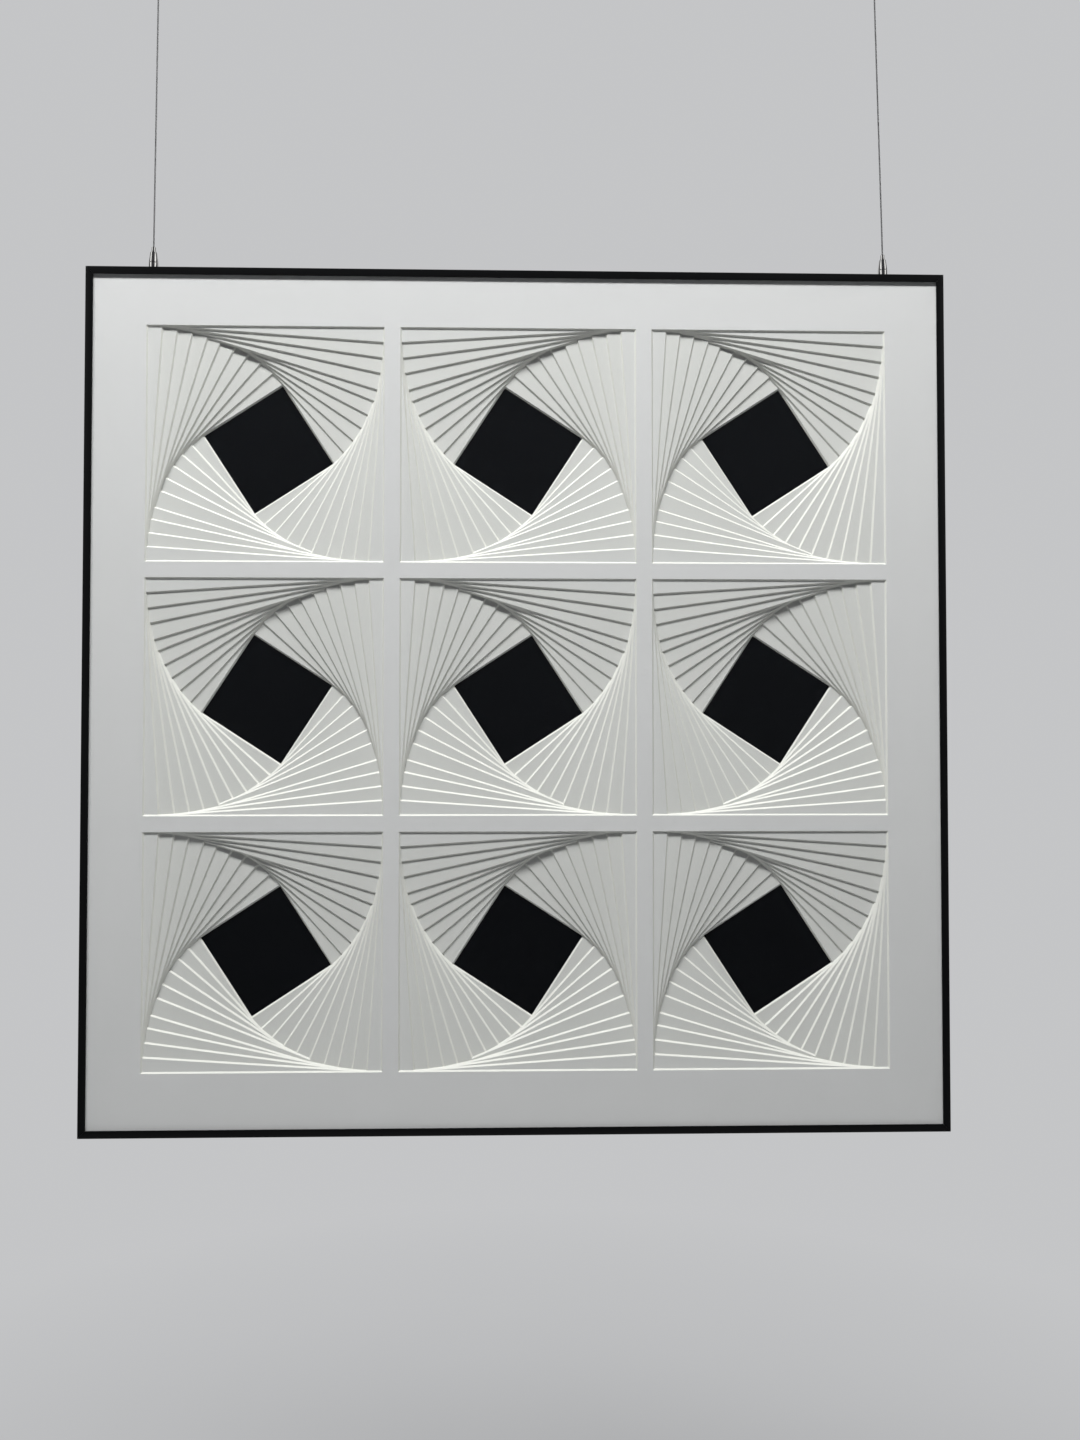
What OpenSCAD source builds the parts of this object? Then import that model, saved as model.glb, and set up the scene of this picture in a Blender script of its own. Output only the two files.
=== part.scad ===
// Framed paper relief: eleven bevel-cut mat boards over a black board, behind glass,
// in a mitred metal frame that hangs on two wires.
// The picture stands in the XZ plane and faces -Y. The origin is the centre of the frame.

/* [Frame] */
// Distance from the sides of the frame to the windows
border_w = 55.6; // [40:0.2:120]
// Distance from the top and bottom of the frame to the windows
border_h = 55.6; // [40:0.2:120]
// Width of the lip that shows around the picture
lip_w = 7; // [5:0.5:14]
// Thickness of that lip
lip_t = 1; // [0.8:0.1:2]
// Thickness of the outer wall
wall_t = 1.8; // [1.2:0.1:3]
// Thickness of the inner webs of the profile
web_t = 1.4; // [1:0.1:2.5]
// Inside width of the rear channel, across the rail
channel_w = 11.8; // [10:0.2:16]
// Inside depth of the rear channel, front to back
channel_depth = 6.2; // [5.6:0.1:9]
// Width of the slot along the back of the channel
slot_w = 6.8; // [5:0.2:8]
// Hairline left between two mitred ends
mitre_gap = 0.1; // [0.05:0.05:0.3]

/* [Glass and boards] */
// Thickness of the glass
glass_t = 1.5; // [1.2:0.1:3]
// Thickness of one relief board
sheet_t = 1.4; // [1:0.1:2]
// Thickness of the black board
black_t = 1.4; // [1:0.1:3]
// Thickness of the back board
back_t = 3; // [2:0.1:5]
// Room between the edges of the boards and the rails
edge_clearance = 0.8; // [0.3:0.1:2]

/* [Relief] */
// Windows in a row
columns = 3; // [1:1:4]
// Rows of windows
rows = 3; // [1:1:4]
// Side of a front window
window_w = 220; // [160:1:300]
// Width of the bar between two front windows
bar_w = 14.4; // [8:0.2:20]
// How far each window's corner moves along the side of the window in front of it
corner_step = 13.7; // [8:0.1:16]
// Slope of the cut edges, from the line of sight
bevel_angle = 45; // [30:1:55]

/* [Corner keys and clips] */
// Length of one leg of a corner key
key_leg = 32; // [24:1:36]
// Thickness of a corner key
key_t = 2.6; // [2:0.1:3.2]
// Room beside a corner key or a slide nut in its channel
key_clearance = 0.2; // [0.1:0.05:0.4]
// Diameter of a set screw
screw_d = 4; // [3:0.1:4.5]
// Distance of a set screw from the end of its leg
screw_inset = 9; // [6:0.5:11]
// Width of the hexagon socket in a set screw
socket_d = 2; // [1.5:0.1:2.4]
// Depth of that socket
socket_depth = 2.5; // [1:0.1:4]
// Depth of the gap that the spring clips fill
clip_gap = 4.7; // [2.5:0.1:6]
// Length of a spring clip
clip_l = 60; // [40:1:80]
// Width of a spring clip
clip_w = 11; // [8:0.5:12]
// Thickness of a spring clip
clip_t = 0.5; // [0.3:0.05:1]
// Distance of each clip from the nearest corner of the frame
clip_offset = 200; // [80:1:350]
// Room between a clip and what it presses on
clip_clearance = 0.1; // [0.05:0.05:0.3]

/* [Grippers, wires and eyes] */
// Distance of the left wire from the left side of the frame
left_wire_inset = 52; // [47:1:90]
// Distance of the right wire from the right side of the frame
right_wire_inset = 47; // [47:1:90]
// Diameter of a hanging wire
wire_d = 1.5; // [1:0.1:2]
// Diameter of a gripper
gripper_d = 9; // [8:0.1:11]
// Height of the straight part of a gripper
gripper_body_h = 17; // [12:0.5:24]
// Height of the cone of a gripper
gripper_cone_h = 10; // [8:0.5:14]
// Diameter at the top of the cone
gripper_tip_d = 6.4; // [5:0.1:7.5]
// Diameter of the neck above the cone
neck_d = 4; // [3:0.1:4.8]
// Height of the neck
neck_h = 5; // [3:0.1:8]
// Diameter of a gripper's stud
stud_d = 4; // [3:0.1:4.5]
// Height of a slide nut
nut_h = 3.5; // [2.5:0.1:6]
// Length of a slide nut, along the rail
nut_l = 14; // [10:0.5:16]
// Diameter of the hole in a wire's eye
eye_bore_d = 5.2; // [4:0.1:8]
// Width of the ring around that hole
eye_ring_w = 3; // [2:0.1:4]
// Thickness of the eye
eye_t = 3; // [2:0.1:4]
// Diameter of the swaged barrel under the eye
barrel_d = 4; // [3:0.1:6]
// Length of the swaged barrel
barrel_l = 14; // [10:0.5:24]
// Room around the wires, studs and screws in their holes
hole_clearance = 0.1; // [0.05:0.05:0.3]

/* [Hidden] */
$fn = 64;
// Cuts run this far past the faces that they open
over = 1;
sheet_count = 11;
// How far the windows of each board sit above the frame's centre, front to back, laid in by hand
window_rise = [2, 2, 1.5, 1, -1, 2, 1.5, 1.5, 1, 0, 0];

// The frame is cut to the windows and the border around them
pitch = window_w + bar_w;
frame_w = columns * pitch - bar_w + 2 * border_w;
frame_h = rows * pitch - bar_w + 2 * border_h;

// Depths, counted back from the front face of the frame
glass_at = lip_t;
relief_at = glass_at + glass_t;
black_at = relief_at + sheet_count * sheet_t;
back_at = black_at + black_t;
clip_at = back_at + back_t;
web_at = clip_at + clip_gap;
channel_at = web_at + web_t;
rear_lip_at = channel_at + channel_depth;
frame_depth = rear_lip_at + web_t;
front_y = -frame_depth / 2;

// Distances across a rail, counted in from its outer face
channel_mid = wall_t + channel_w / 2;
channel_end = wall_t + channel_w;
rail_w = channel_end + web_t;
slot_lip = (channel_w - slot_w) / 2;

board_w = frame_w - 2 * (wall_t + edge_clearance);
board_h = frame_h - 2 * (wall_t + edge_clearance);

key_start = wall_t + key_clearance;
key_w = channel_w - 2 * key_clearance;
key_screw_at = key_start + key_leg - screw_inset;

// A clip's bow touches the back board at its middle and the web at its ends
clip_rise = clip_gap - clip_t - 2 * clip_clearance;
clip_r = (pow(clip_l / 2, 2) + pow(clip_rise, 2)) / (2 * clip_rise);

left_x = left_wire_inset - frame_w / 2;
right_x = frame_w / 2 - right_wire_inset;
wire_y = front_y + channel_at + channel_depth / 2;
neck_top = frame_h / 2 + gripper_body_h + gripper_cone_h + neck_h;
hole_d = wire_d + 2 * hole_clearance;
eye_r = eye_bore_d / 2 + eye_ring_w;

// Route of a wire: share of its lean towards the middle, height above the gripper
wire_route = [
    [0, -18], [0, -9], [0, 0], [0.05, 16], [0.11, 32], [0.17, 48], [0.24, 64], [0.30, 80],
    [0.37, 96], [0.43, 112], [0.50, 128], [0.56, 144], [0.63, 160], [0.69, 176], [0.76, 192],
    [0.82, 208], [0.89, 224], [0.95, 240], [0.99, 252], [1, 262], [1, 270]
];
wire_sides = 8;
wire_start = wire_route[0][1];
wire_end = wire_route[len(wire_route) - 1][1];
barrel_hold = 8;
left_lean = 2.5;
right_lean = -6;

function two_digits(k) = str(k < 10 ? "0" : "", k);
function sheet_name(k) = str("relief_sheet_", two_digits(k));

// Side and turn of the windows in board k: each square stands inside the one in front of it
function window_side(k) =
    k == 1 ? window_w : norm([corner_step, window_side(k - 1) - corner_step]);
function window_turn(k) =
    k == 1 ? 0 : window_turn(k - 1) + atan2(corner_step, window_side(k - 1) - corner_step);

// Stands a flat shape up in the picture plane, with its rear face at the given depth
module stand_at(depth) {
    translate([0, front_y + depth, 0]) rotate([90, 0, 0]) children();
}

module board(depth, t) {
    stand_at(depth + t) linear_extrude(t) square([board_w, board_h], center = true);
}

// Section of a rail: x runs in from its outer face, y runs back from its front face
module rail_section() {
    polygon([
        [0, 0], [lip_w, 0], [lip_w, lip_t], [wall_t, lip_t],
        [wall_t, web_at], [rail_w, web_at], [rail_w, frame_depth],
        [channel_end - slot_lip, frame_depth], [channel_end - slot_lip, rear_lip_at],
        [channel_end, rear_lip_at], [channel_end, channel_at],
        [wall_t, channel_at], [wall_t, rear_lip_at],
        [wall_t + slot_lip, rear_lip_at], [wall_t + slot_lip, frame_depth],
        [0, frame_depth]
    ]);
}

// A rail along X with its outer face up, mitred at both ends
module rail(length) {
    half = length / 2 - mitre_gap / sqrt(2);
    intersection() {
        translate([-length / 2, front_y, 0]) rotate([0, 90, 0]) linear_extrude(length) rail_section();
        stand_at(frame_depth + over) linear_extrude(frame_depth + 2 * over)
            polygon([[-half, 0], [half, 0], [half - rail_w, -rail_w], [rail_w - half, -rail_w]]);
    }
}

// Places for what is drawn with the rail's outer face up
module on_top() { translate([0, 0, frame_h / 2]) children(); }
module on_bottom() { translate([0, 0, -frame_h / 2]) rotate([0, 180, 0]) children(); }
module on_left() { translate([-frame_w / 2, 0, 0]) rotate([0, -90, 0]) children(); }
module on_right() { translate([frame_w / 2, 0, 0]) rotate([0, 90, 0]) children(); }

module black_anodised() { color([0.10, 0.10, 0.11]) children(); }
module bright_steel() { color([0.75, 0.76, 0.78]) children(); }

module frame_rail_top() {
    black_anodised() difference() {
        on_top() rail(frame_w);
        for (x = [left_x, right_x])
            translate([x, wire_y, frame_h / 2 - wall_t - over])
                cylinder(d = stud_d + 2 * hole_clearance, h = wall_t + 2 * over);
    }
}

module frame_rail_bottom() { black_anodised() on_bottom() rail(frame_w); }
module frame_rail_left() { black_anodised() on_left() rail(frame_h); }
module frame_rail_right() { black_anodised() on_right() rail(frame_h); }

// Places of the two set screws of a corner, counted in from the outer faces
key_screws = [[key_screw_at, channel_mid], [channel_mid, key_screw_at]];

// Turns distances counted in from the outer faces of a corner into a point of the picture plane
function in_corner(side, p) = [side[0] * (frame_w / 2 - p[0]), side[1] * (frame_h / 2 - p[1])];

// An L-shaped plate in the corner given by side, such as [1, 1] for the top right
module corner_key(side) {
    near = key_start + key_w;
    far = key_start + key_leg;
    outline = [
        [key_start, key_start], [far, key_start], [far, near],
        [near, near], [near, far], [key_start, far]
    ];
    bright_steel() stand_at(rear_lip_at) difference() {
        linear_extrude(key_t) polygon([for (p = outline) in_corner(side, p)]);
        for (p = key_screws)
            translate(concat(in_corner(side, p), [-over]))
                cylinder(d = screw_d + 2 * hole_clearance, h = key_t + 2 * over);
    }
}

module set_screw() {
    difference() {
        cylinder(d = screw_d, h = channel_depth);
        translate([0, 0, -over]) cylinder(d = socket_d, h = socket_depth + over, $fn = 6);
    }
}

module corner_set_screws() {
    bright_steel() stand_at(rear_lip_at)
        for (side_x = [-1, 1], side_z = [-1, 1], p = key_screws)
            translate(concat(in_corner([side_x, side_z], p), [0])) set_screw();
}

module glass_sheet() { color([0.85, 0.93, 0.92, 0.25]) board(glass_at, glass_t); }

// A square hole whose four sides slope out towards the front
module bevelled_hole(side) {
    run = tan(bevel_angle);
    rear = side / 2 - (sheet_t + over) * run;
    front = side / 2 + over * run;
    section = [[-rear, -over], [rear, -over], [front, sheet_t + over], [-front, sheet_t + over]];
    intersection() {
        rotate([90, 0, 0]) linear_extrude(2 * side, center = true) polygon(section);
        rotate([90, 0, 90]) linear_extrude(2 * side, center = true) polygon(section);
    }
}

// Board k of the relief, counted from the front; neighbouring windows turn opposite ways
module relief_sheet(k) {
    color([0.93, 0.93, 0.92]) difference() {
        board(relief_at + (k - 1) * sheet_t, sheet_t);
        stand_at(relief_at + k * sheet_t) translate([0, window_rise[k - 1]])
            for (column = [0:columns - 1], row = [0:rows - 1])
                translate([(column - (columns - 1) / 2) * pitch, (row - (rows - 1) / 2) * pitch])
                    rotate([0, 0, window_turn(k) * ((column + row) % 2 == 0 ? -1 : 1)])
                        bevelled_hole(window_side(k));
    }
}

module black_board() { color([0.03, 0.03, 0.03]) board(black_at, black_t); }
module back_board() { color([0.45, 0.36, 0.27]) board(back_at, back_t); }

// A bowed strip on a rail with its outer face up
module spring_clip() {
    bow_y = front_y + clip_at + clip_clearance + clip_t + clip_r;
    middle = (wall_t + rail_w) / 2;
    translate([0, 0, -middle]) intersection() {
        translate([0, bow_y, 0]) difference() {
            cylinder(r = clip_r + clip_t, h = clip_w, center = true);
            cylinder(r = clip_r, h = clip_w + over, center = true);
        }
        translate([0, front_y + clip_at + clip_gap / 2, 0])
            cube([clip_l, clip_gap, clip_w], center = true);
    }
}

module spring_clips() {
    across = frame_w / 2 - clip_offset;
    up = frame_h / 2 - clip_offset;
    bright_steel() for (end = [-1, 1]) {
        on_top() translate([end * across, 0, 0]) spring_clip();
        on_bottom() translate([end * across, 0, 0]) spring_clip();
        on_left() translate([end * up, 0, 0]) spring_clip();
        on_right() translate([end * up, 0, 0]) spring_clip();
    }
}

// A turned cone on a straight body, with a stud below and a hole for the wire above
module wire_gripper(x) {
    bright_steel() translate([x, wire_y, frame_h / 2]) difference() {
        union() {
            translate([0, 0, -wall_t - nut_h]) cylinder(d = stud_d, h = wall_t + nut_h + over);
            cylinder(d = gripper_d, h = gripper_body_h);
            translate([0, 0, gripper_body_h])
                cylinder(d1 = gripper_d, d2 = gripper_tip_d, h = gripper_cone_h);
            translate([0, 0, gripper_body_h]) cylinder(d = neck_d, h = gripper_cone_h + neck_h);
        }
        translate([0, 0, neck_top - frame_h / 2 + wire_start - hole_clearance])
            cylinder(d = hole_d, h = over - wire_start);
    }
}

module wire_gripper_left() { wire_gripper(left_x); }
module wire_gripper_right() { wire_gripper(right_x); }

module gripper_slide_nuts() {
    nut_depth = channel_depth - 2 * key_clearance;
    bright_steel() for (x = [left_x, right_x])
        translate([x, wire_y, frame_h / 2 - wall_t - nut_h]) difference() {
            translate([-nut_l / 2, -nut_depth / 2, 0]) cube([nut_l, nut_depth, nut_h]);
            translate([0, 0, -over]) cylinder(d = stud_d + 2 * hole_clearance, h = nut_h + 2 * over);
        }
}

// A tube along the wire's route
module hanging_wire(x, lean) {
    rings = len(wire_route);
    step = 360 / wire_sides;
    ring = [for (j = [0:wire_sides - 1]) wire_d / 2 * [cos(j * step), sin(j * step)]];
    points = [
        for (p = wire_route, q = ring)
            [x + lean * p[0] + q[0], wire_y + q[1], neck_top + p[1]]
    ];
    sides = [
        for (i = [0:rings - 2], j = [0:wire_sides - 1])
            let (below = i * wire_sides, above = below + wire_sides, next = (j + 1) % wire_sides)
            [below + j, above + j, above + next, below + next]
    ];
    bottom = [for (j = [0:wire_sides - 1]) j];
    top = [for (j = [1:wire_sides]) rings * wire_sides - j];
    bright_steel() polyhedron(points, concat(sides, [bottom, top]));
}

module hanging_wire_left() { hanging_wire(left_x, left_lean); }
module hanging_wire_right() { hanging_wire(right_x, right_lean); }

// A swaged barrel with a flat eye on it
module wire_eye(x) {
    eye_z = barrel_l + eye_r - eye_ring_w / 2;
    bright_steel() translate([x, wire_y, neck_top + wire_end - barrel_hold]) difference() {
        union() {
            cylinder(d = barrel_d, h = barrel_l);
            translate([0, 0, eye_z]) rotate([90, 0, 0]) cylinder(r = eye_r, h = eye_t, center = true);
        }
        translate([0, 0, -over]) cylinder(d = hole_d, h = over + barrel_hold + hole_clearance);
        translate([0, 0, eye_z]) rotate([90, 0, 0])
            cylinder(d = eye_bore_d, h = eye_t + 2 * over, center = true);
    }
}

module wire_eye_left() { wire_eye(left_x + left_lean); }
module wire_eye_right() { wire_eye(right_x + right_lean); }

frame_rail_top();
frame_rail_bottom();
frame_rail_left();
frame_rail_right();
corner_key([-1, 1]);  // corner_key_top_left
corner_key([1, 1]);  // corner_key_top_right
corner_key([-1, -1]);  // corner_key_bottom_left
corner_key([1, -1]);  // corner_key_bottom_right
corner_set_screws();
glass_sheet();
for (k = [1:sheet_count]) relief_sheet(k);
black_board();
back_board();
spring_clips();
wire_gripper_left();
wire_gripper_right();
gripper_slide_nuts();
hanging_wire_left();
hanging_wire_right();
wire_eye_left();
wire_eye_right();
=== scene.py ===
"""Looks of a framed paper relief that hangs on two wires.

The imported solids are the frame. The boards, the glass and the small hardware keep their solids and get
finishes. The rails, grippers, eyes and wires are modelled anew, with eased edges, grooves and strands.
A plain studio and a camera show the result.
"""
import math

import bmesh
import bpy
from bpy.props import FloatProperty, FloatVectorProperty, IntProperty, PointerProperty
from mathutils import Matrix, Vector


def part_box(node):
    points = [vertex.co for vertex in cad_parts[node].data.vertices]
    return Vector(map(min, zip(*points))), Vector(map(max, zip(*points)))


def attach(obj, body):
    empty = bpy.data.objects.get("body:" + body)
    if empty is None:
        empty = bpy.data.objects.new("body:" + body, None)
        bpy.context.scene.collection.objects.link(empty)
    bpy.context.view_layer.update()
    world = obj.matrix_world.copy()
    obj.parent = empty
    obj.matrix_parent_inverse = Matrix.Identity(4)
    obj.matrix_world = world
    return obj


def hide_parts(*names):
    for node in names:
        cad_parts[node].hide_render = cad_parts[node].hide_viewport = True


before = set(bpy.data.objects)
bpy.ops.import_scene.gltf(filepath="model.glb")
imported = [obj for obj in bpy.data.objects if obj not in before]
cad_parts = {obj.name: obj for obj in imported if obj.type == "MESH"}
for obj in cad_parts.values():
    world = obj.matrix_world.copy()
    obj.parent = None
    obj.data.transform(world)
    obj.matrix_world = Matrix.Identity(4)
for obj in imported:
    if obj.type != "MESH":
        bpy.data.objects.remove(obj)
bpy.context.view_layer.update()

bl_info = {
    "name": "Paper Relief",
    "version": (1, 0, 0),
    "blender": (4, 5, 0),
    "location": "View3D > Sidebar > Relief",
    "description": "Dresses a framed paper relief that hangs on two wires",
    "category": "Object",
}

MM = 0.001
SIDES = ("left", "right")
SHEET_COUNT = sum(name.startswith("relief_sheet_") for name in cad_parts)
CORNER_KEYS = [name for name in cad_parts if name.startswith("corner_key_")]

# Route of a wire: share of its lean towards the middle, height above the gripper in metres
WIRE_ROUTE = [
    (0, -0.018), (0, -0.009), (0, 0), (0.05, 0.016), (0.11, 0.032), (0.17, 0.048), (0.24, 0.064),
    (0.30, 0.080), (0.37, 0.096), (0.43, 0.112), (0.50, 0.128), (0.56, 0.144), (0.63, 0.160),
    (0.69, 0.176), (0.76, 0.192), (0.82, 0.208), (0.89, 0.224), (0.95, 0.240), (0.99, 0.252),
    (1, 0.262), (1, 0.270),
]
WIRE_LEAN = {"left": 2.5 * MM, "right": -6 * MM}


# Small helpers for shader trees

def add_node(tree, kind, inputs=None, **options):
    """Adds a node, sets its options and gives its inputs values or links."""
    made = tree.nodes.new(kind)
    for name, value in options.items():
        setattr(made, name, value)
    for key, value in (inputs or {}).items():
        if isinstance(value, bpy.types.NodeSocket):
            tree.links.new(value, made.inputs[key])
        else:
            made.inputs[key].default_value = value
    return made


def calculate(tree, operation, first, second=0.0):
    """Works out one value from two, and gives its socket."""
    return add_node(tree, "ShaderNodeMath", {0: first, 1: second}, operation=operation).outputs[0]


def mix_colours(tree, share, first, second, blend_type="MIX"):
    """Mixes two colours, and gives the socket of the result."""
    # The Mix node's colours are sockets 6 and 7
    inputs = {0: share, 6: first, 7: second}
    return add_node(tree, "ShaderNodeMix", inputs, data_type="RGBA", blend_type=blend_type).outputs[2]


def spread(tree, value, low, high, to_low=0.0, to_high=1.0):
    """Maps the range from low to high onto another one, and holds it at both ends."""
    inputs = {"Value": value, "From Min": low, "From Max": high, "To Min": to_low, "To Max": to_high}
    return add_node(tree, "ShaderNodeMapRange", inputs).outputs["Result"]


def noise(tree, vector, scale, detail=2.0):
    """A cloudy value from 0 to 1."""
    inputs = {"Vector": vector, "Scale": scale, "Detail": detail}
    return add_node(tree, "ShaderNodeTexNoise", inputs).outputs[0]


def place(tree):
    """The point on the surface, in metres in the part's frame."""
    return add_node(tree, "ShaderNodeTexCoord").outputs["Object"]


def bump(tree, height, strength, distance):
    """A bump from a height, and the socket of the normal that it gives."""
    inputs = {"Height": height, "Strength": strength, "Distance": distance}
    return add_node(tree, "ShaderNodeBump", inputs).outputs["Normal"]


def rgba(colour):
    """A colour of three values with full alpha."""
    return (*colour, 1.0)


# Effects that several finishes share

def new_effect(name, inputs, outputs):
    """Starts a node group with named sockets, and gives its tree, its input node and its output node."""
    tree = bpy.data.node_groups.new(name, "ShaderNodeTree")
    for title, kind, default in inputs:
        socket = tree.interface.new_socket(title, in_out="INPUT", socket_type=kind)
        socket.default_value = default
    for title, kind in outputs:
        tree.interface.new_socket(title, in_out="OUTPUT", socket_type=kind)
    return tree, tree.nodes.new("NodeGroupInput"), tree.nodes.new("NodeGroupOutput")


def use_effect(tree, effect, inputs):
    """Places a shared effect in a material with its own values."""
    made = tree.nodes.new("ShaderNodeGroup")
    made.node_tree = effect()
    for title, value in inputs.items():
        made.inputs[title].default_value = value
    return made


def paper_fibre():
    """Fibres and soft clouds in paper or card, and the bare core where the knife cut through it."""
    name = "Paper Fibre"
    if name in bpy.data.node_groups:
        return bpy.data.node_groups[name]
    tree, given, result = new_effect(
        name,
        [
            ("Face Colour", "NodeSocketColor", (0.8, 0.8, 0.8, 1)),
            ("Core Colour", "NodeSocketColor", (0.9, 0.9, 0.9, 1)),
            ("Contrast", "NodeSocketFloat", 0.05),
        ],
        [("Colour", "NodeSocketColor"), ("Height", "NodeSocketFloat")],
    )
    coordinates = add_node(tree, "ShaderNodeTexCoord")
    point = coordinates.outputs["Object"]
    fibres = noise(tree, point, 1500, 4)
    felt = noise(tree, point, 220, 3)
    clouds = noise(tree, point, 11, 2)
    grain = calculate(tree, "MULTIPLY", calculate(tree, "ADD", fibres, felt), 0.5)
    swing = calculate(tree, "SUBTRACT", calculate(tree, "ADD", grain, clouds), 1.0)
    tone = calculate(tree, "ADD", calculate(tree, "MULTIPLY", swing, given.outputs["Contrast"]), 1.0)
    # A face looks straight forward or back, and a cut looks at a slant
    facing = add_node(tree, "ShaderNodeSeparateXYZ", {0: coordinates.outputs["Normal"]}).outputs["Y"]
    cut = spread(tree, calculate(tree, "ABSOLUTE", facing), 0.80, 0.95, 1.0, 0.0)
    colour = mix_colours(tree, cut, given.outputs["Face Colour"], given.outputs["Core Colour"])
    toned = mix_colours(tree, 1.0, colour, tone, "MULTIPLY")
    tree.links.new(toned, result.inputs["Colour"])
    tree.links.new(grain, result.inputs["Height"])
    return tree


def metal_grain():
    """Fine lines left by drawing, brushing or turning, long where the stretch is small."""
    name = "Metal Grain"
    if name in bpy.data.node_groups:
        return bpy.data.node_groups[name]
    tree, given, result = new_effect(
        name,
        [("Stretch", "NodeSocketVector", (1000, 1000, 1000))],
        [("Grain", "NodeSocketFloat")],
    )
    inputs = {0: place(tree), 1: given.outputs["Stretch"]}
    drawn = add_node(tree, "ShaderNodeVectorMath", inputs, operation="MULTIPLY").outputs[0]
    tree.links.new(noise(tree, drawn, 1.0, 3), result.inputs["Grain"])
    return tree


def handling_marks():
    """Soft smears where a surface was touched or wiped."""
    name = "Handling Marks"
    if name in bpy.data.node_groups:
        return bpy.data.node_groups[name]
    tree, given, result = new_effect(
        name,
        [("Scale", "NodeSocketFloat", 20.0)],
        [("Mask", "NodeSocketFloat")],
    )
    smears = noise(tree, place(tree), given.outputs["Scale"], 5)
    tree.links.new(spread(tree, smears, 0.45, 0.72), result.inputs["Mask"])
    return tree


# Finishes

def new_finish(name, **constants):
    """A material with one Principled shader, and the constant values of its sockets."""
    material = bpy.data.materials.new(name)
    material.use_nodes = True
    shader = material.node_tree.nodes["Principled BSDF"]
    for title, value in constants.items():
        shader.inputs[title.replace("_", " ")].default_value = value
    return material, material.node_tree, shader


def white_board(number, settings):
    """White mat board with a bare core on its cuts. Boards further back are a little warmer."""
    depth = min(1.0, (number - 1) / settings.warm_boards)
    face = Vector(settings.front_face).lerp(Vector(settings.inner_face), depth)
    material, tree, shader = new_finish(f"white_board_{number:02d}", Roughness=0.82)
    shader.inputs["Specular IOR Level"].default_value = 0.2
    paper = use_effect(tree, paper_fibre, {
        "Face Colour": rgba(face), "Core Colour": rgba(settings.core), "Contrast": 0.025,
    })
    tree.links.new(paper.outputs["Colour"], shader.inputs["Base Color"])
    tree.links.new(bump(tree, paper.outputs["Height"], 0.12, 0.08 * MM), shader.inputs["Normal"])
    return material


def black_card(settings):
    """Deep black card with a faint fibre."""
    material, tree, shader = new_finish("black_card", Roughness=0.75)
    shader.inputs["Specular IOR Level"].default_value = 0.05
    paper = use_effect(tree, paper_fibre, {
        "Face Colour": rgba(settings.card), "Core Colour": rgba(settings.card), "Contrast": 0.25,
    })
    tree.links.new(paper.outputs["Colour"], shader.inputs["Base Color"])
    tree.links.new(bump(tree, paper.outputs["Height"], 0.15, 0.08 * MM), shader.inputs["Normal"])
    return material


def fibreboard(settings):
    """Pressed wood fibre, with pale and dark flecks."""
    material, tree, shader = new_finish("fibreboard", Roughness=0.7)
    point = place(tree)
    flecks = spread(tree, noise(tree, point, 700, 6), 0.35, 0.7)
    clouds = noise(tree, point, 14, 3)
    light = Vector(settings.backing) * 1.35
    dark = Vector(settings.backing) * 0.7
    flecked = mix_colours(tree, flecks, rgba(dark), rgba(light))
    toned = mix_colours(tree, 1.0, flecked, spread(tree, clouds, 0.3, 0.7, 0.88, 1.08), "MULTIPLY")
    tree.links.new(toned, shader.inputs["Base Color"])
    tree.links.new(bump(tree, flecks, 0.4, 0.1 * MM), shader.inputs["Normal"])
    return material


def black_anodised(name, stretch, settings):
    """Satin black anodised metal with fine drawn lines along the rail."""
    material, tree, shader = new_finish(name)
    shader.inputs["Specular IOR Level"].default_value = 0.2
    grain = use_effect(tree, metal_grain, {"Stretch": stretch}).outputs["Grain"]
    marks = use_effect(tree, handling_marks, {"Scale": 28.0}).outputs["Mask"]
    dark = Vector(settings.colour) * 0.75
    light = Vector(settings.colour) * 1.25
    tree.links.new(mix_colours(tree, grain, rgba(dark), rgba(light)), shader.inputs["Base Color"])
    satin = spread(tree, grain, 0.3, 0.7, 0.36, 0.46)
    rough = calculate(tree, "ADD", satin, calculate(tree, "MULTIPLY", marks, 0.06))
    tree.links.new(rough, shader.inputs["Roughness"])
    tree.links.new(bump(tree, grain, 0.12, 0.03 * MM), shader.inputs["Normal"])
    return material


def clear_glass(settings):
    """Clear picture glass that lets the lamps through, with faint wiping marks."""
    material, tree, shader = new_finish("clear_glass", Transmission_Weight=1.0, IOR=settings.glass_ior)
    shader.inputs["Base Color"].default_value = rgba(settings.glass)
    marks = use_effect(tree, handling_marks, {"Scale": 9.0}).outputs["Mask"]
    tree.links.new(calculate(tree, "MULTIPLY", marks, 0.02), shader.inputs["Roughness"])
    rays = add_node(tree, "ShaderNodeLightPath")
    clear = add_node(tree, "ShaderNodeBsdfTransparent").outputs[0]
    lamps = {0: rays.outputs["Is Shadow Ray"], 1: shader.outputs[0], 2: clear}
    lit = add_node(tree, "ShaderNodeMixShader", lamps).outputs[0]
    bounced = {0: rays.outputs["Is Diffuse Ray"], 1: lit, 2: clear}
    shown = add_node(tree, "ShaderNodeMixShader", bounced).outputs[0]
    tree.links.new(shown, tree.nodes["Material Output"].inputs["Surface"])
    return material


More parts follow.
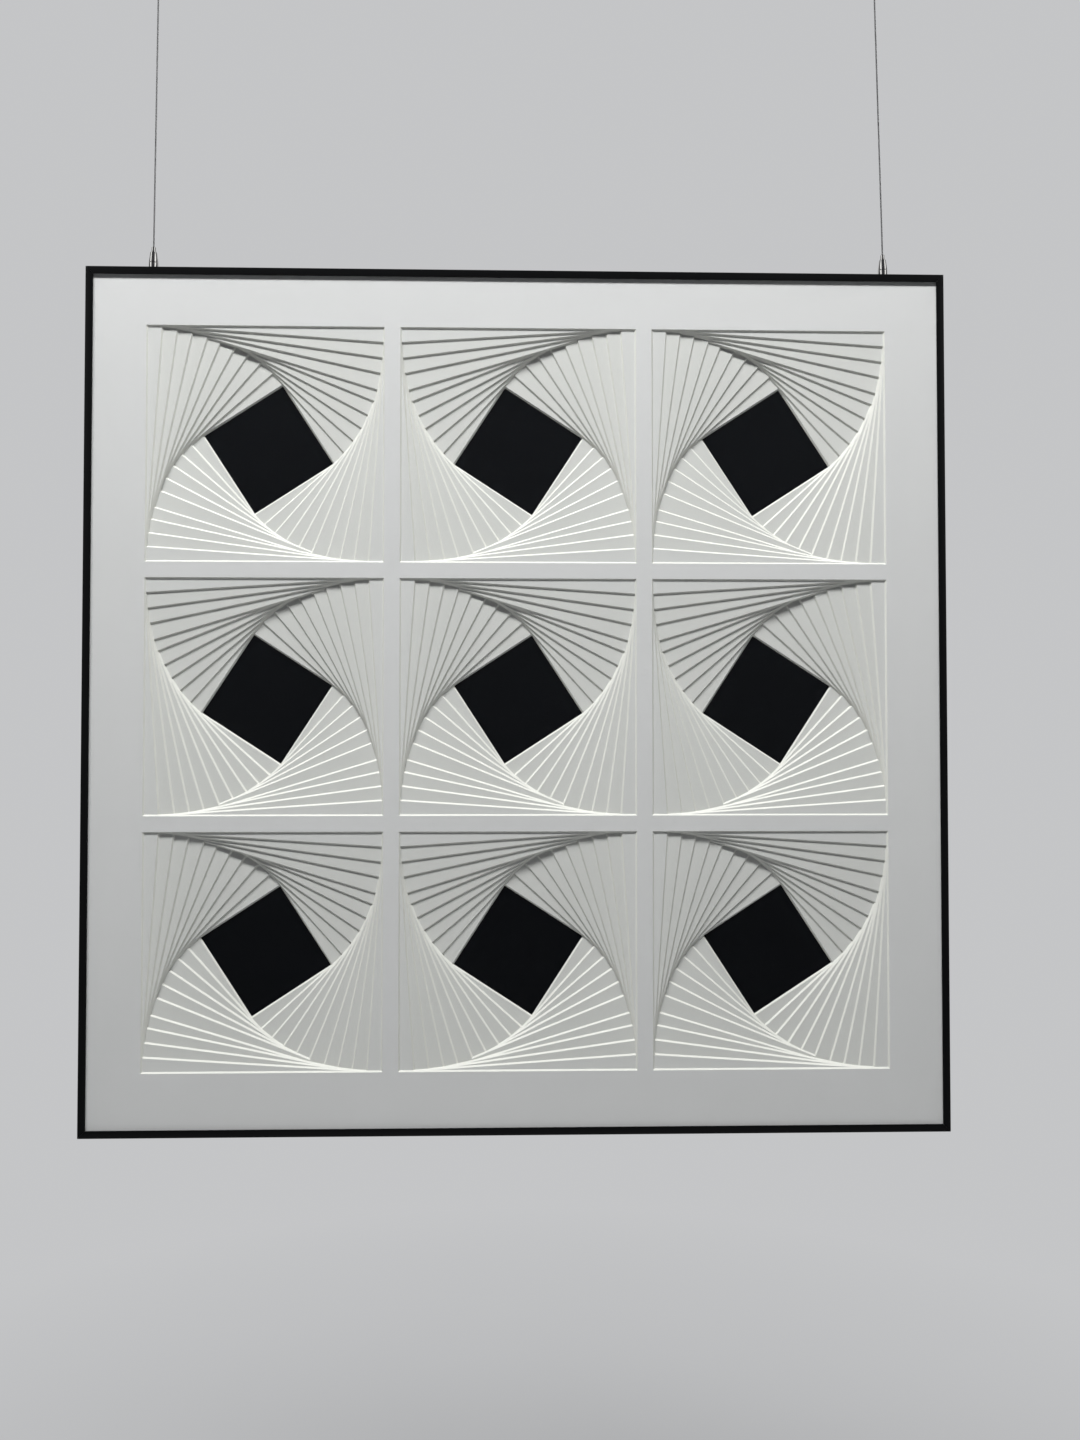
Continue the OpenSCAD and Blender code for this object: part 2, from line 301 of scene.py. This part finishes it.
def bare_metal(name, colour, stretch, rough_low, rough_high, contrast=0.1):
    """Bare metal with fine lines and soft smears, duller in the smears."""
    material, tree, shader = new_finish(name, Metallic=1.0)
    grain = use_effect(tree, metal_grain, {"Stretch": stretch}).outputs["Grain"]
    marks = use_effect(tree, handling_marks, {"Scale": 160.0}).outputs["Mask"]
    dark = Vector(colour) * (1 - contrast)
    light = Vector(colour) * (1 + contrast)
    tree.links.new(mix_colours(tree, grain, rgba(dark), rgba(light)), shader.inputs["Base Color"])
    worn = calculate(tree, "MULTIPLY", calculate(tree, "ADD", grain, marks), 0.5)
    tree.links.new(spread(tree, worn, 0.2, 0.8, rough_low, rough_high), shader.inputs["Roughness"])
    tree.links.new(bump(tree, grain, 0.1, 0.02 * MM), shader.inputs["Normal"])
    return material


# Small helpers for meshes

def eased(points, radius, closed=True, steps=3):
    """Rounds the corners of a flat outline with arcs. On an open outline both ends stay."""
    rounded = []
    for i, corner in enumerate(points):
        if not closed and i in (0, len(points) - 1):
            rounded.append(corner)
            continue
        back = points[i - 1] - corner
        ahead = points[(i + 1) % len(points)] - corner
        half = back.angle(ahead) / 2
        reach = min(radius / math.tan(half), 0.45 * back.length, 0.45 * ahead.length)
        r = reach * math.tan(half)
        middle = corner + (back.normalized() + ahead.normalized()).normalized() * r / math.sin(half)
        first = corner + back.normalized() * reach - middle
        last = corner + ahead.normalized() * reach - middle
        arc = [first.slerp(last, step / steps).normalized() for step in range(steps + 1)]
        rounded += [middle + way * r for way in arc]
    return rounded


def flat_points(pairs):
    """Points of a flat outline from pairs in millimetres."""
    return [Vector(pair) * MM for pair in pairs]


def turn_on_lathe(shape, outline, steps):
    """Turns an outline of radius and height about the Z axis. It starts and ends on the axis."""
    rings = []
    for radius, height in outline:
        if radius == 0:
            rings.append([shape.verts.new((0, 0, height))] * steps)
            continue
        angles = [math.tau * k / steps for k in range(steps)]
        points = [(radius * math.cos(a), radius * math.sin(a), height) for a in angles]
        rings.append([shape.verts.new(point) for point in points])
    for lower, upper in zip(rings, rings[1:]):
        for k in range(steps):
            corners = [lower[k - 1], lower[k], upper[k], upper[k - 1]]
            shape.faces.new(list(dict.fromkeys(corners)))


def turn_ring(shape, outline, steps):
    """Turns a closed outline of radius and height about the Z axis."""
    rings = []
    for k in range(steps):
        angle = math.tau * k / steps
        across = Vector((math.cos(angle), math.sin(angle), 0))
        rings.append([shape.verts.new(across * p.x + Vector((0, 0, p.y))) for p in outline])
    for k in range(steps):
        for i in range(len(outline)):
            shape.faces.new((rings[k - 1][i - 1], rings[k][i - 1], rings[k][i], rings[k - 1][i]))


def make_piece(name, shape, material, slot, *nodes):
    """Turns a shape into a piece that rides on the part and stands for its nodes."""
    bmesh.ops.recalc_face_normals(shape, faces=shape.faces)
    mesh = bpy.data.meshes.new(name)
    shape.to_mesh(mesh)
    shape.free()
    mesh.shade_smooth()
    mesh.set_sharp_from_angle(angle=math.radians(32))
    mesh.materials.append(material)
    piece = bpy.data.objects.new(name, mesh)
    bpy.context.scene.collection.objects.link(piece)
    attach(piece, "root")
    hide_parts(*nodes)
    return piece


def unite(shape, other):
    """Joins a second closed shape to the first as one skin."""
    names = ("unite_first", "unite_second")
    solids = []
    for name, source in zip(names, (shape, other)):
        bmesh.ops.recalc_face_normals(source, faces=source.faces)
        mesh = bpy.data.meshes.new(name)
        source.to_mesh(mesh)
        source.free()
        solids.append(bpy.data.objects.new(name, mesh))
        bpy.context.scene.collection.objects.link(solids[-1])
    joint = solids[0].modifiers.new("unite", "BOOLEAN")
    joint.operation = "UNION"
    joint.solver = "EXACT"
    joint.object = solids[1]
    joined = bmesh.new()
    joined.from_object(solids[0], bpy.context.evaluated_depsgraph_get())
    for solid in solids:
        bpy.data.objects.remove(solid)
    return joined


def finish_node(name, material):
    """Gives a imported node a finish."""
    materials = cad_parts[name].data.materials
    materials.clear()
    materials.append(material)


# What a user would change

class RailSettings(bpy.types.PropertyGroup):
    """Section and colour of the frame's rails."""

    lip: FloatProperty(
        name="Lip", description="Width of the lip around the picture", default=7 * MM, unit="LENGTH")
    lip_thickness: FloatProperty(
        name="Lip Thickness", description="Thickness of that lip", default=1 * MM, unit="LENGTH")
    wall: FloatProperty(
        name="Wall", description="Thickness of the outer wall", default=1.8 * MM, unit="LENGTH")
    web: FloatProperty(
        name="Web", description="Thickness of the inner webs", default=1.4 * MM, unit="LENGTH")
    channel_depth: FloatProperty(
        name="Channel Depth", description="Inside depth of the rear channel", default=6.2 * MM,
        unit="LENGTH")
    slot: FloatProperty(
        name="Slot", description="Width of the slot along the back", default=6.8 * MM, unit="LENGTH")
    ease: FloatProperty(
        name="Eased Edge", description="Radius of the profile's corners", default=0.35 * MM,
        unit="LENGTH")
    colour: FloatVectorProperty(
        name="Colour", description="Colour of the anodised finish", default=(0.0052, 0.0054, 0.0058),
        subtype="COLOR", size=3, min=0, max=1)


class BoardSettings(bpy.types.PropertyGroup):
    """Colours of the boards and the glass."""

    front_face: FloatVectorProperty(
        name="Front Face", description="Face of the front board", default=(0.80, 0.805, 0.80),
        subtype="COLOR", size=3, min=0, max=1)
    inner_face: FloatVectorProperty(
        name="Inner Face", description="Faces of the boards behind it", default=(0.80, 0.805, 0.775),
        subtype="COLOR", size=3, min=0, max=1)
    core: FloatVectorProperty(
        name="Core", description="Bare core on the cut edges", default=(0.87, 0.87, 0.82),
        subtype="COLOR", size=3, min=0, max=1)
    warm_boards: FloatProperty(
        name="Warm Boards", description="Boards over which the face grows warmer", default=2.0, min=1)
    card: FloatVectorProperty(
        name="Black Card", description="The board at the bottom of the windows",
        default=(0.0035, 0.004, 0.005),
        subtype="COLOR", size=3, min=0, max=1)
    backing: FloatVectorProperty(
        name="Backing", description="The board that closes the back", default=(0.23, 0.14, 0.075),
        subtype="COLOR", size=3, min=0, max=1)
    glass: FloatVectorProperty(
        name="Glass", description="Tint of the glass", default=(0.985, 0.995, 0.99),
        subtype="COLOR", size=3, min=0, max=1)
    glass_ior: FloatProperty(
        name="Glass IOR", description="How much the glass bends and mirrors", default=1.45, min=1)


class FittingSettings(bpy.types.PropertyGroup):
    """Sizes and colours of the wires and fittings."""

    wire: FloatProperty(
        name="Wire", description="Diameter of a hanging wire", default=1.5 * MM, unit="LENGTH")
    strands: IntProperty(
        name="Strands", description="Outer strands of a wire", default=12, min=3)
    lay: FloatProperty(
        name="Lay", description="Length in which a strand goes round once", default=11 * MM,
        unit="LENGTH")
    nickel: FloatVectorProperty(
        name="Nickel", description="Grippers and eyes", default=(0.74, 0.73, 0.71),
        subtype="COLOR", size=3, min=0, max=1)
    steel: FloatVectorProperty(
        name="Steel", description="Strands of the wires", default=(0.78, 0.78, 0.78),
        subtype="COLOR", size=3, min=0, max=1)
    zinc: FloatVectorProperty(
        name="Zinc", description="Corner keys, screws and nuts", default=(0.60, 0.61, 0.63),
        subtype="COLOR", size=3, min=0, max=1)
    spring: FloatVectorProperty(
        name="Spring Steel", description="Clips behind the boards", default=(0.30, 0.31, 0.34),
        subtype="COLOR", size=3, min=0, max=1)


class StudioSettings(bpy.types.PropertyGroup):
    """The floor, the lamps and the camera."""

    pale: FloatVectorProperty(
        name="Pale", description="Floor and background", default=(0.555, 0.56, 0.57),
        subtype="COLOR", size=3, min=0, max=1)
    dim: FloatVectorProperty(
        name="Dim", description="The room in front of the picture", default=(0.05, 0.051, 0.055),
        subtype="COLOR", size=3, min=0, max=1)
    strip: FloatVectorProperty(
        name="Strip", description="Two upright strips that metal and glass mirror",
        default=(1.2, 1.2, 1.2), subtype="COLOR", size=3, min=0)
    room_light: FloatProperty(
        name="Room Light", description="Share of the room's light that falls on things", default=0.63,
        min=0)
    floor_drop: FloatProperty(
        name="Floor Drop", description="Height of the picture's middle above the floor", default=1.3,
        unit="LENGTH")
    floor_radius: FloatProperty(
        name="Floor Radius", description="Reach of the floor", default=2.3, unit="LENGTH")
    key_power: FloatProperty(
        name="Key Power", description="Lamp above the picture, in watts", default=88.0)
    key_place: FloatVectorProperty(
        name="Key Place", description="Where the lamp above the picture hangs",
        default=(-0.25, -1.2, 2.25), subtype="TRANSLATION", unit="LENGTH", size=3)
    eye_place: FloatVectorProperty(
        name="Camera Place", description="Where the camera stands", default=(-0.0038, -1.0173, -0.0427),
        subtype="TRANSLATION", unit="LENGTH", size=3)
    eye_aim: FloatVectorProperty(
        name="Camera Aim", description="The way the camera looks", default=(0.02383, 0.99945, 0.02312),
        subtype="DIRECTION", size=3)
    lens: FloatProperty(
        name="Lens", description="Focal length in millimetres on a 36 mm long side", default=27.05)


class ReliefSettings(bpy.types.PropertyGroup):
    """All settings of the relief."""

    rails: PointerProperty(type=RailSettings, name="Rails")
    boards: PointerProperty(type=BoardSettings, name="Boards")
    fittings: PointerProperty(type=FittingSettings, name="Fittings")
    studio: PointerProperty(type=StudioSettings, name="Studio")


# The pieces

class BuildRails(bpy.types.Operator):
    """Model the four mitred rails with eased edges"""

    bl_idname = "paper_relief.rails"
    bl_label = "Rails"

    PLACES = {"top": 0, "bottom": 180, "left": -90, "right": 90}

    def section(self, settings, width, depth):
        """Outline of a rail: x runs in from its outer face, y runs back from its front face."""
        wall = settings.wall
        lip_end = settings.lip_thickness
        channel_end = width - settings.web
        lips = (channel_end - wall - settings.slot) / 2
        rear = depth - settings.web
        floor = rear - settings.channel_depth
        corners = [
            (0, 0), (settings.lip, 0), (settings.lip, lip_end), (wall, lip_end),
            (wall, floor - settings.web), (width, floor - settings.web), (width, depth),
            (channel_end - lips, depth), (channel_end - lips, rear), (channel_end, rear),
            (channel_end, floor), (wall, floor), (wall, rear), (wall + lips, rear),
            (wall + lips, depth), (0, depth),
        ]
        return eased([Vector(corner) for corner in corners], settings.ease)

    def execute(self, context):
        settings = context.scene.paper_relief.rails
        low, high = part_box("frame_rail_top")
        outline = self.section(settings, high.z - low.z, high.y - low.y)
        along_x = black_anodised("black_anodised_across", (9, 1400, 1400), settings)
        along_z = black_anodised("black_anodised_upright", (1400, 1400, 9), settings)
        for side, angle in self.PLACES.items():
            node = f"frame_rail_{side}"
            low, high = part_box(node)
            upright = side in SIDES
            half = high.z if upright else high.x
            reach = max(abs(low.x), abs(high.x)) if upright else max(abs(low.z), abs(high.z))
            shape = bmesh.new()
            ends = [
                [shape.verts.new((end * (half - p.x), low.y + p.y, reach - p.x)) for p in outline]
                for end in (-1, 1)
            ]
            for i in range(len(outline)):
                shape.faces.new((ends[0][i - 1], ends[0][i], ends[1][i], ends[1][i - 1]))
            for end in ends:
                shape.faces.new(end)
            turn = Matrix.Rotation(math.radians(angle), 3, "Y")
            bmesh.ops.rotate(shape, matrix=turn, verts=shape.verts)
            make_piece(f"rail_{side}", shape, along_z if upright else along_x, "black_anodised", node)
        return {"FINISHED"}


class FinishBoards(bpy.types.Operator):
    """Give the relief boards, the black board and the back board their paper and fibre"""

    bl_idname = "paper_relief.boards"
    bl_label = "Boards"

    def execute(self, context):
        settings = context.scene.paper_relief.boards
        for number in range(1, SHEET_COUNT + 1):
            finish_node(f"relief_sheet_{number:02d}", white_board(number, settings))
        finish_node("black_board", black_card(settings))
        finish_node("back_board", fibreboard(settings))
        return {"FINISHED"}


class FinishGlass(bpy.types.Operator):
    """Give the glass its clear finish"""

    bl_idname = "paper_relief.glass"
    bl_label = "Glass"

    def execute(self, context):
        finish_node("glass_sheet", clear_glass(context.scene.paper_relief.boards))
        return {"FINISHED"}


class BuildGrippers(bpy.types.Operator):
    """Turn the two wire grippers with their grooves, neck ring and wire hole"""

    bl_idname = "paper_relief.grippers"
    bl_label = "Grippers"

    # Radius and height above the frame, in millimetres, from the foot of the stud to the wire hole
    OUTLINE = [
        (0, -5.3), (2, -5.3), (2, 0), (4.5, 0), (4.5, 2.2), (4.2, 2.4), (4.2, 3.0), (4.5, 3.2),
        (4.5, 16.2), (4.25, 16.4), (4.25, 16.8), (4.5, 17), (3.2, 27), (2.5, 27), (2.5, 28.1),
        (2, 28.3), (2, 32), (0.85, 32), (0.85, 14), (0, 14),
    ]
    STEPS = 64

    def execute(self, context):
        fittings = context.scene.paper_relief.fittings
        nickel = bare_metal("bright_nickel", fittings.nickel, (40, 40, 5000), 0.10, 0.24)
        frame_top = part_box("frame_rail_top")[1].z
        for side in SIDES:
            node = f"wire_gripper_{side}"
            low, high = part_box(node)
            shape = bmesh.new()
            turn_on_lathe(shape, eased(flat_points(self.OUTLINE), 0.22 * MM, closed=False), self.STEPS)
            place_on_frame = Vector(((low.x + high.x) / 2, (low.y + high.y) / 2, frame_top))
            bmesh.ops.translate(shape, vec=place_on_frame, verts=shape.verts)
            make_piece(f"gripper_{side}", shape, nickel, "bright_nickel", node)
        return {"FINISHED"}


class BuildEyes(bpy.types.Operator):
    """Model the swaged eyes at the top of the wires"""

    bl_idname = "paper_relief.eyes"
    bl_label = "Eyes"

    # Radius and height of the swaged barrel, in millimetres, from its wire hole up into the ring
    BARREL = [
        (0, 8), (0.85, 8), (0.85, 0), (1.6, 0), (2, 0.5), (2, 2.6), (1.75, 2.9), (1.75, 3.9),
        (2, 4.2), (2, 6), (1.75, 6.3), (1.75, 7.3), (2, 7.6), (2, 9.4), (1.75, 9.7), (1.75, 10.7),
        (2, 11), (2, 14.8), (0, 14.8),
    ]
    RING = [(2.6, -1.5), (5.6, -1.5), (5.6, 1.5), (2.6, 1.5)]
    STEPS = 64

    def execute(self, context):
        for side in SIDES:
            nickel = bpy.data.objects[f"gripper_{side}"].data.materials[0]
            node = f"wire_eye_{side}"
            low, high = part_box(node)
            barrel = bmesh.new()
            turn_on_lathe(barrel, eased(flat_points(self.BARREL), 0.2 * MM, closed=False), self.STEPS)
            ring = bmesh.new()
            turn_ring(ring, eased(flat_points(self.RING), 0.8 * MM, steps=5), self.STEPS)
            bmesh.ops.rotate(ring, matrix=Matrix.Rotation(math.radians(90), 3, "X"), verts=ring.verts)
            ring_radius = self.RING[1][0] * MM
            bmesh.ops.translate(ring, vec=(0, 0, high.z - low.z - ring_radius), verts=ring.verts)
            shape = unite(barrel, ring)
            foot = Vector(((low.x + high.x) / 2, (low.y + high.y) / 2, low.z))
            bmesh.ops.translate(shape, vec=foot, verts=shape.verts)
            make_piece(f"eye_{side}", shape, nickel, "bright_nickel", node)
        return {"FINISHED"}


class BuildWires(bpy.types.Operator):
    """Lay the twisted strands of the two hanging wires along their route"""

    bl_idname = "paper_relief.wires"
    bl_label = "Wires"

    RING_STEP = 0.7 * MM
    POINTS_PER_STRAND = 4
    VALLEY = 0.86

    def line(self, points):
        """Close, evenly spaced points along a route."""
        line = []
        for start, end in zip(points, points[1:]):
            count = max(1, round((end - start).length / self.RING_STEP))
            line += [start.lerp(end, k / count) for k in range(count)]
        return line + [points[-1]]

    def execute(self, context):
        fittings = context.scene.paper_relief.fittings
        steel = bare_metal("wire_strands", fittings.steel, (900, 900, 900), 0.38, 0.52, 0.12)
        radius = fittings.wire / 2
        count = fittings.strands * self.POINTS_PER_STRAND
        for side in SIDES:
            low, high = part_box(f"wire_gripper_{side}")
            top = Vector(((low.x + high.x) / 2, (low.y + high.y) / 2, high.z))
            route = [top + Vector((WIRE_LEAN[side] * share, 0, height)) for share, height in WIRE_ROUTE]
            line = self.line(route)
            shape = bmesh.new()
            rings = []
            for point in line:
                turn = math.tau * (point.z - top.z) / fittings.lay
                ring = []
                for k in range(count):
                    angle = math.tau * k / count
                    crest = abs(math.cos(angle * fittings.strands / 2))
                    r = radius * (self.VALLEY + (1 - self.VALLEY) * math.sqrt(crest))
                    across = Vector((math.cos(angle + turn), math.sin(angle + turn), 0))
                    ring.append(shape.verts.new(point + across * r))
                rings.append(ring)
            for lower, upper in zip(rings, rings[1:]):
                for k in range(count):
                    shape.faces.new((lower[k - 1], lower[k], upper[k], upper[k - 1]))
            for end in (rings[0], rings[-1]):
                shape.faces.new(end)
            wire = make_piece(f"wire_{side}", shape, steel, "steel_wire", f"hanging_wire_{side}")
        return {"FINISHED"}


class FinishHardware(bpy.types.Operator):
    """Give the corner keys, screws, nuts and clips their bare metal"""

    bl_idname = "paper_relief.hardware"
    bl_label = "Hardware"

    def execute(self, context):
        fittings = context.scene.paper_relief.fittings
        zinc = bare_metal("zinc_plate", fittings.zinc, (600, 600, 600), 0.28, 0.48, 0.15)
        spring = bare_metal("spring_steel", fittings.spring, (300, 300, 300), 0.22, 0.42, 0.25)
        for name in (*CORNER_KEYS, "corner_set_screws", "gripper_slide_nuts"):
            finish_node(name, zinc)
        finish_node("spring_clips", spring)
        return {"FINISHED"}


class BuildStudio(bpy.types.Operator):
    """Set up the pale floor, the soft light and the camera"""

    bl_idname = "paper_relief.studio"
    bl_label = "Studio"

    # Where the mirrored strips begin and end, by the sideways and the upward part of a ray
    STRIP_INNER = (0.55, 0.62)
    STRIP_OUTER = (0.88, 0.80)
    STRIP_FOOT = (0.15, 0.3)
    # Where the pale flanks below the strips begin, in radians from straight ahead
    FLANK = (1.2, 1.35)
    # Parts of a ray's upward direction between which the dim room grows from its darkest share to all
    DIM_HEIGHTS = (-0.25, 0.35)
    DARKEST = 0.25
    # Shares of the floor's radius between which it melts into the background, and fades in mirrors
    FLOOR_MELT = (0.2, 0.85)
    FLOOR_FADE = (0.2, 0.95)
    # Width and height of the lamp in metres
    KEY_SIZE = (2.0, 0.3)

    def world(self, studio):
        """A pale room that is dim in front of the picture."""
        world = bpy.data.worlds.new("pale_room")
        bpy.context.scene.world = world
        world.use_nodes = True
        tree = world.node_tree
        way = add_node(tree, "ShaderNodeSeparateXYZ", {
            0: add_node(tree, "ShaderNodeTexCoord").outputs["Generated"],
        })
        rays = add_node(tree, "ShaderNodeLightPath")
        # What metal mirrors is dim at the sides too, so that its edges stand out from the background
        pale_end = spread(tree, rays.outputs["Is Glossy Ray"], 0.0, 1.0, 0.0, 0.75)
        dim_start = calculate(tree, "SUBTRACT", pale_end, 0.5)
        front = spread(tree, way.outputs["Y"], pale_end, dim_start)
        height = spread(tree, way.outputs["Z"], *self.DIM_HEIGHTS, self.DARKEST, 1.0)
        graded = mix_colours(tree, 1.0, rgba(studio.dim), height, "MULTIPLY")
        mirrored = mix_colours(tree, front, rgba(studio.pale), graded)
        # Two upright pale strips above and in front, which only metal and glass mirror
        side = calculate(tree, "ABSOLUTE", way.outputs["X"])
        inner = spread(tree, side, *self.STRIP_INNER)
        outer = spread(tree, side, *self.STRIP_OUTER)
        strip = calculate(tree, "MULTIPLY", inner, outer)
        strip = calculate(tree, "MULTIPLY", strip, spread(tree, way.outputs["Y"], 0.0, -0.1))
        above = spread(tree, way.outputs["Z"], *self.STRIP_FOOT)
        strip = calculate(tree, "MULTIPLY", strip, above)
        strip = calculate(tree, "MULTIPLY", strip, rays.outputs["Is Glossy Ray"])
        mirrored = mix_colours(tree, strip, mirrored, rgba(studio.strip))
        # Pale flanks below them, for metal that is seen from above
        ahead = calculate(tree, "ABSOLUTE", way.outputs["Y"])
        flank = spread(tree, calculate(tree, "ARCTAN2", side, ahead), *self.FLANK)
        flank = calculate(tree, "MULTIPLY", flank, calculate(tree, "SUBTRACT", 1.0, above))
        flank = calculate(tree, "MULTIPLY", flank, rays.outputs["Is Glossy Ray"])
        mirrored = mix_colours(tree, flank, mirrored, rgba(studio.pale))
        level = spread(tree, rays.outputs["Is Diffuse Ray"], 0.0, 1.0, 1.0, studio.room_light)
        room = mix_colours(tree, 1.0, mirrored, level, "MULTIPLY")
        shown = mix_colours(tree, rays.outputs["Is Camera Ray"], room, rgba(studio.pale))
        tree.links.new(shown, tree.nodes["Background"].inputs["Color"])

    def floor(self, studio):
        """A round pale floor that melts into the background."""
        shape = bmesh.new()
        bmesh.ops.create_circle(shape, cap_ends=True, radius=studio.floor_radius, segments=96)
        bmesh.ops.translate(shape, vec=(0, 0, -studio.floor_drop), verts=shape.verts)
        mesh = bpy.data.meshes.new("floor")
        shape.to_mesh(mesh)
        shape.free()
        material, tree, shader = new_finish("pale_floor", Roughness=0.9)
        point = place(tree)
        mottle = spread(tree, noise(tree, point, 5, 3), 0.3, 0.7, 0.97, 1.03)
        toned = mix_colours(tree, 1.0, rgba(studio.pale), mottle, "MULTIPLY")
        tree.links.new(toned, shader.inputs["Base Color"])
        level = {0: point, 1: (1, 1, 0)}
        flat = add_node(tree, "ShaderNodeVectorMath", level, operation="MULTIPLY").outputs[0]
        distance = add_node(tree, "ShaderNodeVectorMath", {0: flat}, operation="LENGTH").outputs["Value"]
        share = calculate(tree, "DIVIDE", distance, studio.floor_radius)
        fade = spread(tree, share, *self.FLOOR_MELT, 0.5, 1.0)
        rays = add_node(tree, "ShaderNodeLightPath")
        mirrored = calculate(
            tree, "MAXIMUM", rays.outputs["Is Glossy Ray"], rays.outputs["Is Transmission Ray"])
        seen = calculate(tree, "MAXIMUM", rays.outputs["Is Camera Ray"], mirrored)
        glow = add_node(tree, "ShaderNodeEmission", {"Color": rgba(studio.pale), "Strength": 1.0})
        melt = {0: calculate(tree, "MULTIPLY", fade, seen), 1: shader.outputs[0], 2: glow.outputs[0]}
        shown = add_node(tree, "ShaderNodeMixShader", melt).outputs[0]
        # In mirrors the rim fades into the dim room
        rim = spread(tree, share, *self.FLOOR_FADE)
        clear = add_node(tree, "ShaderNodeBsdfTransparent").outputs[0]
        faded = {0: calculate(tree, "MULTIPLY", rim, mirrored), 1: shown, 2: clear}
        surface = add_node(tree, "ShaderNodeMixShader", faded).outputs[0]
        tree.links.new(surface, tree.nodes["Material Output"].inputs["Surface"])
        mesh.materials.append(material)
        floor = bpy.data.objects.new("floor", mesh)
        bpy.context.scene.collection.objects.link(floor)

    def lamp(self, name, point, target, power, width, height):
        """A soft lamp that looks at a target and that nothing mirrors."""
        light = bpy.data.lights.new(name, "AREA")
        light.shape = "RECTANGLE"
        light.size = width
        light.size_y = height
        light.energy = power
        lamp = bpy.data.objects.new(name, light)
        lamp.location = point
        lamp.rotation_euler = (Vector(target) - Vector(point)).to_track_quat("-Z", "Y").to_euler()
        lamp.visible_glossy = False
        bpy.context.scene.collection.objects.link(lamp)

    def camera(self, studio):
        """The camera at the photograph's place."""
        data = bpy.data.cameras.new("camera")
        data.sensor_width = 36
        data.lens = studio.lens
        camera = bpy.data.objects.new("camera", data)
        camera.location = studio.eye_place
        camera.rotation_euler = Vector(studio.eye_aim).to_track_quat("-Z", "Y").to_euler()
        bpy.context.scene.collection.objects.link(camera)
        bpy.context.scene.camera = camera

    def execute(self, context):
        studio = context.scene.paper_relief.studio
        context.scene.view_settings.view_transform = "Standard"
        self.world(studio)
        self.floor(studio)
        self.lamp("key_lamp", studio.key_place, (0, 0, 0), studio.key_power, *self.KEY_SIZE)
        self.camera(studio)
        return {"FINISHED"}


class ReliefPanel(bpy.types.Panel):
    """Lists the steps in the sidebar"""

    bl_idname = "VIEW3D_PT_paper_relief"
    bl_label = "Paper Relief"
    bl_space_type = "VIEW_3D"
    bl_region_type = "UI"
    bl_category = "Relief"

    def draw(self, context):
        for step in STEPS:
            self.layout.operator(step.bl_idname)
        for group in ("rails", "boards", "fittings", "studio"):
            settings = getattr(context.scene.paper_relief, group)
            box = self.layout.box()
            for name in settings.bl_rna.properties.keys():
                if name not in ("rna_type", "name"):
                    box.prop(settings, name)


SETTINGS = (RailSettings, BoardSettings, FittingSettings, StudioSettings, ReliefSettings)
STEPS = (
    BuildStudio, BuildGrippers, BuildEyes, BuildWires, BuildRails, FinishBoards, FinishGlass,
    FinishHardware,
)


def register():
    """Registers every class and hangs the settings on the scene."""
    for kind in (*SETTINGS, *STEPS, ReliefPanel):
        bpy.utils.register_class(kind)
    bpy.types.Scene.paper_relief = PointerProperty(type=ReliefSettings)


def unregister():
    """Takes the settings and the classes away again."""
    del bpy.types.Scene.paper_relief
    for kind in reversed((*SETTINGS, *STEPS, ReliefPanel)):
        bpy.utils.unregister_class(kind)


def main():
    """Builds every piece in order."""
    register()
    bpy.ops.paper_relief.studio()
    bpy.ops.paper_relief.grippers()
    bpy.ops.paper_relief.eyes()
    bpy.ops.paper_relief.wires()
    bpy.ops.paper_relief.rails()
    bpy.ops.paper_relief.boards()
    bpy.ops.paper_relief.glass()
    bpy.ops.paper_relief.hardware()


if __name__ == "__main__":
    main()
